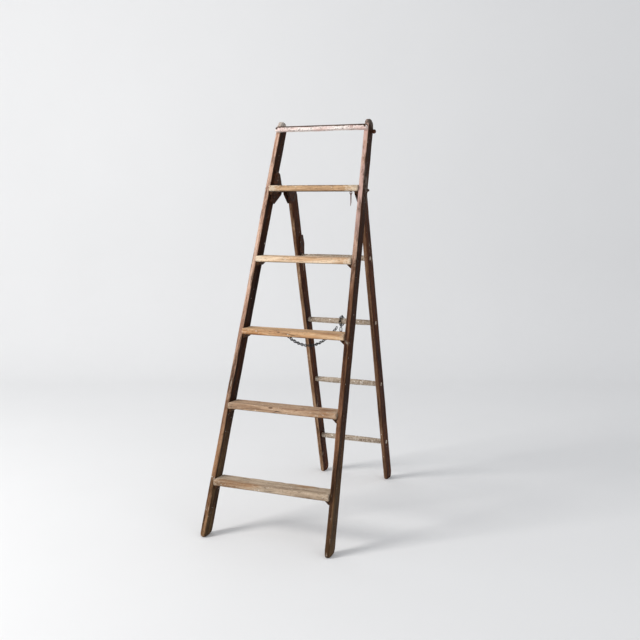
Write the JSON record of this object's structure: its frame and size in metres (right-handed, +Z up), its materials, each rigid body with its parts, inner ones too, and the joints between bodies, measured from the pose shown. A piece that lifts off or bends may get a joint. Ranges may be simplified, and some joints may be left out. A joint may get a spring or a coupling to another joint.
{
  "type": "folding step ladder",
  "caption": "Old wooden folding step ladder: leaning front frame with flat treads and a hand rail, hinged rear frame with round rungs, and a restraint chain.",
  "frame": {"origin": "centre of the floor area the open ladder covers, on the floor", "axes": "+Z up, +X along the treads to the user's right when facing the treads, +Y towards the rear frame"},
  "size_m": [0.5812, 1.0934, 1.7371],
  "materials": {
    "stile_wood": "old dark-stained softwood, the fronts bleached tan and spotted with paint",
    "tread_wood": "worn bare softwood, smoothed by feet, with old drips of paint",
    "cleat_wood": "old dark softwood",
    "rail_wood": "chipped pale paint over grey wood",
    "leg_wood": "dark reddish-brown stained softwood, worn at the edges",
    "rung_wood": "turned wood spattered with pale paint",
    "hinge_iron": "blackened forged iron with a little rust",
    "hook_iron": "rusted iron wire",
    "chain_iron": "blackened chain",
    "fastener_iron": "dull oxidised iron"
  },
  "bodies": {
    "front_frame": {"chain_eye": "chain_iron", "cleat_left_1": "cleat_wood", "cleat_left_2": "cleat_wood", "cleat_left_3": "cleat_wood", "cleat_left_4": "cleat_wood", "cleat_left_5": "cleat_wood", "cleat_right_1": "cleat_wood", "cleat_right_2": "cleat_wood", "cleat_right_3": "cleat_wood", "cleat_right_4": "cleat_wood", "cleat_right_5": "cleat_wood", "hinge_bolts_left": "fastener_iron", "hinge_bolts_right": "fastener_iron", "hinge_plate_left": "hinge_iron", "hinge_plate_right": "hinge_iron", "hook_eye": "hook_iron", "pivot_nuts": "fastener_iron", "pivot_rod": "hinge_iron", "pivot_sleeve_left": "hinge_iron", "pivot_sleeve_right": "hinge_iron", "rail_knob": "fastener_iron", "rail_screws": "fastener_iron", "stile_left": "stile_wood", "stile_right": "stile_wood", "top_rail": "rail_wood", "tread_1": "tread_wood", "tread_2": "tread_wood", "tread_3": "tread_wood", "tread_4": "tread_wood", "tread_5": "tread_wood", "tread_nails_left": "fastener_iron", "tread_nails_right": "fastener_iron"},
    "rear_frame": {"chain_loop": "chain_iron", "iron_rivet_left": "fastener_iron", "iron_rivet_right": "fastener_iron", "leg_iron_left": "hinge_iron", "leg_iron_right": "hinge_iron", "leg_strap_left": "hinge_iron", "leg_strap_right": "hinge_iron", "rear_leg_left": "leg_wood", "rear_leg_right": "leg_wood", "rung_1": "rung_wood", "rung_2": "rung_wood", "rung_3": "rung_wood", "rung_4": "rung_wood", "rung_brace_left": "hinge_iron", "rung_brace_right": "hinge_iron", "strap_screws_left": "fastener_iron", "strap_screws_right": "fastener_iron"},
    "hook": {"hook": "hook_iron"},
    "chain_tail": {"chain_tail": "chain_iron"},
    "chain_1": {"chain_strand_1": "chain_iron"},
    "chain_2": {"chain_strand_2": "chain_iron"},
    "chain_3": {"chain_strand_3": "chain_iron"},
    "chain_4": {"chain_strand_4": "chain_iron"},
    "chain_5": {"chain_strand_5": "chain_iron"},
    "chain_6": {"chain_strand_6": "chain_iron"},
    "chain_7": {"chain_strand_7": "chain_iron"}
  },
  "joints": [
    {"name": "rear_frame_fold", "type": "hinge", "parent": "front_frame", "child": "rear_frame", "pos_m": [0, 0.06969, 1.43006], "axis": [-1, 0, 0], "range_deg": [0, 36]},
    {"name": "hook_swing", "type": "hinge", "parent": "front_frame", "child": "hook", "pos_m": [0.172, -0.01934, 1.41235], "axis": [1, 0, 0], "range_deg": [-45, 45]},
    {"name": "chain_joint_1", "type": "hinge", "parent": "front_frame", "child": "chain_1", "pos_m": [-0.043, -0.19934, 0.8091], "axis": [1, 0, 0], "range_deg": [-94.9, 4]},
    {"name": "chain_joint_2", "type": "hinge", "parent": "chain_1", "child": "chain_2", "pos_m": [-0.03828, -0.13698, 0.77867], "axis": [1, 0, 0], "range_deg": [-8.14, 4]},
    {"name": "chain_joint_3", "type": "hinge", "parent": "chain_2", "child": "chain_3", "pos_m": [-0.03328, -0.071, 0.75546], "axis": [1, 0, 0], "range_deg": [-4, 12.99]},
    {"name": "chain_joint_4", "type": "hinge", "parent": "chain_3", "child": "chain_4", "pos_m": [-0.02828, -0.00245, 0.74164], "axis": [1, 0, 0], "range_deg": [-4, 72.98]},
    {"name": "chain_joint_5", "type": "hinge", "parent": "chain_4", "child": "chain_5", "pos_m": [-0.02328, 0.06738, 0.73806], "axis": [1, 0, 0], "range_deg": [-4, 73.77]},
    {"name": "chain_joint_6", "type": "hinge", "parent": "chain_5", "child": "chain_6", "pos_m": [-0.01828, 0.13697, 0.74494], "axis": [1, 0, 0], "range_deg": [-4, 15]},
    {"name": "chain_joint_7", "type": "hinge", "parent": "chain_6", "child": "chain_7", "pos_m": [-0.01328, 0.20483, 0.76185], "axis": [1, 0, 0], "range_deg": [-7.06, 4]},
    {"name": "tail_swing", "type": "hinge", "parent": "rear_frame", "child": "chain_tail", "pos_m": [0.008, 0.28229, 0.7864], "axis": [1, 0, 0], "range_deg": [-4, 40]}
  ],
  "couplings": [
    {"joint": "chain_joint_1", "follows": "rear_frame_fold", "ratio": -2.5249},
    {"joint": "chain_joint_2", "follows": "rear_frame_fold", "ratio": -0.115},
    {"joint": "chain_joint_3", "follows": "rear_frame_fold", "ratio": 0.2498},
    {"joint": "chain_joint_4", "follows": "rear_frame_fold", "ratio": 1.916},
    {"joint": "chain_joint_5", "follows": "rear_frame_fold", "ratio": 1.9381},
    {"joint": "chain_joint_6", "follows": "rear_frame_fold", "ratio": 0.3056},
    {"joint": "chain_joint_7", "follows": "rear_frame_fold", "ratio": -0.0851},
    {"joint": "tail_swing", "follows": "rear_frame_fold", "ratio": 1}
  ]
}
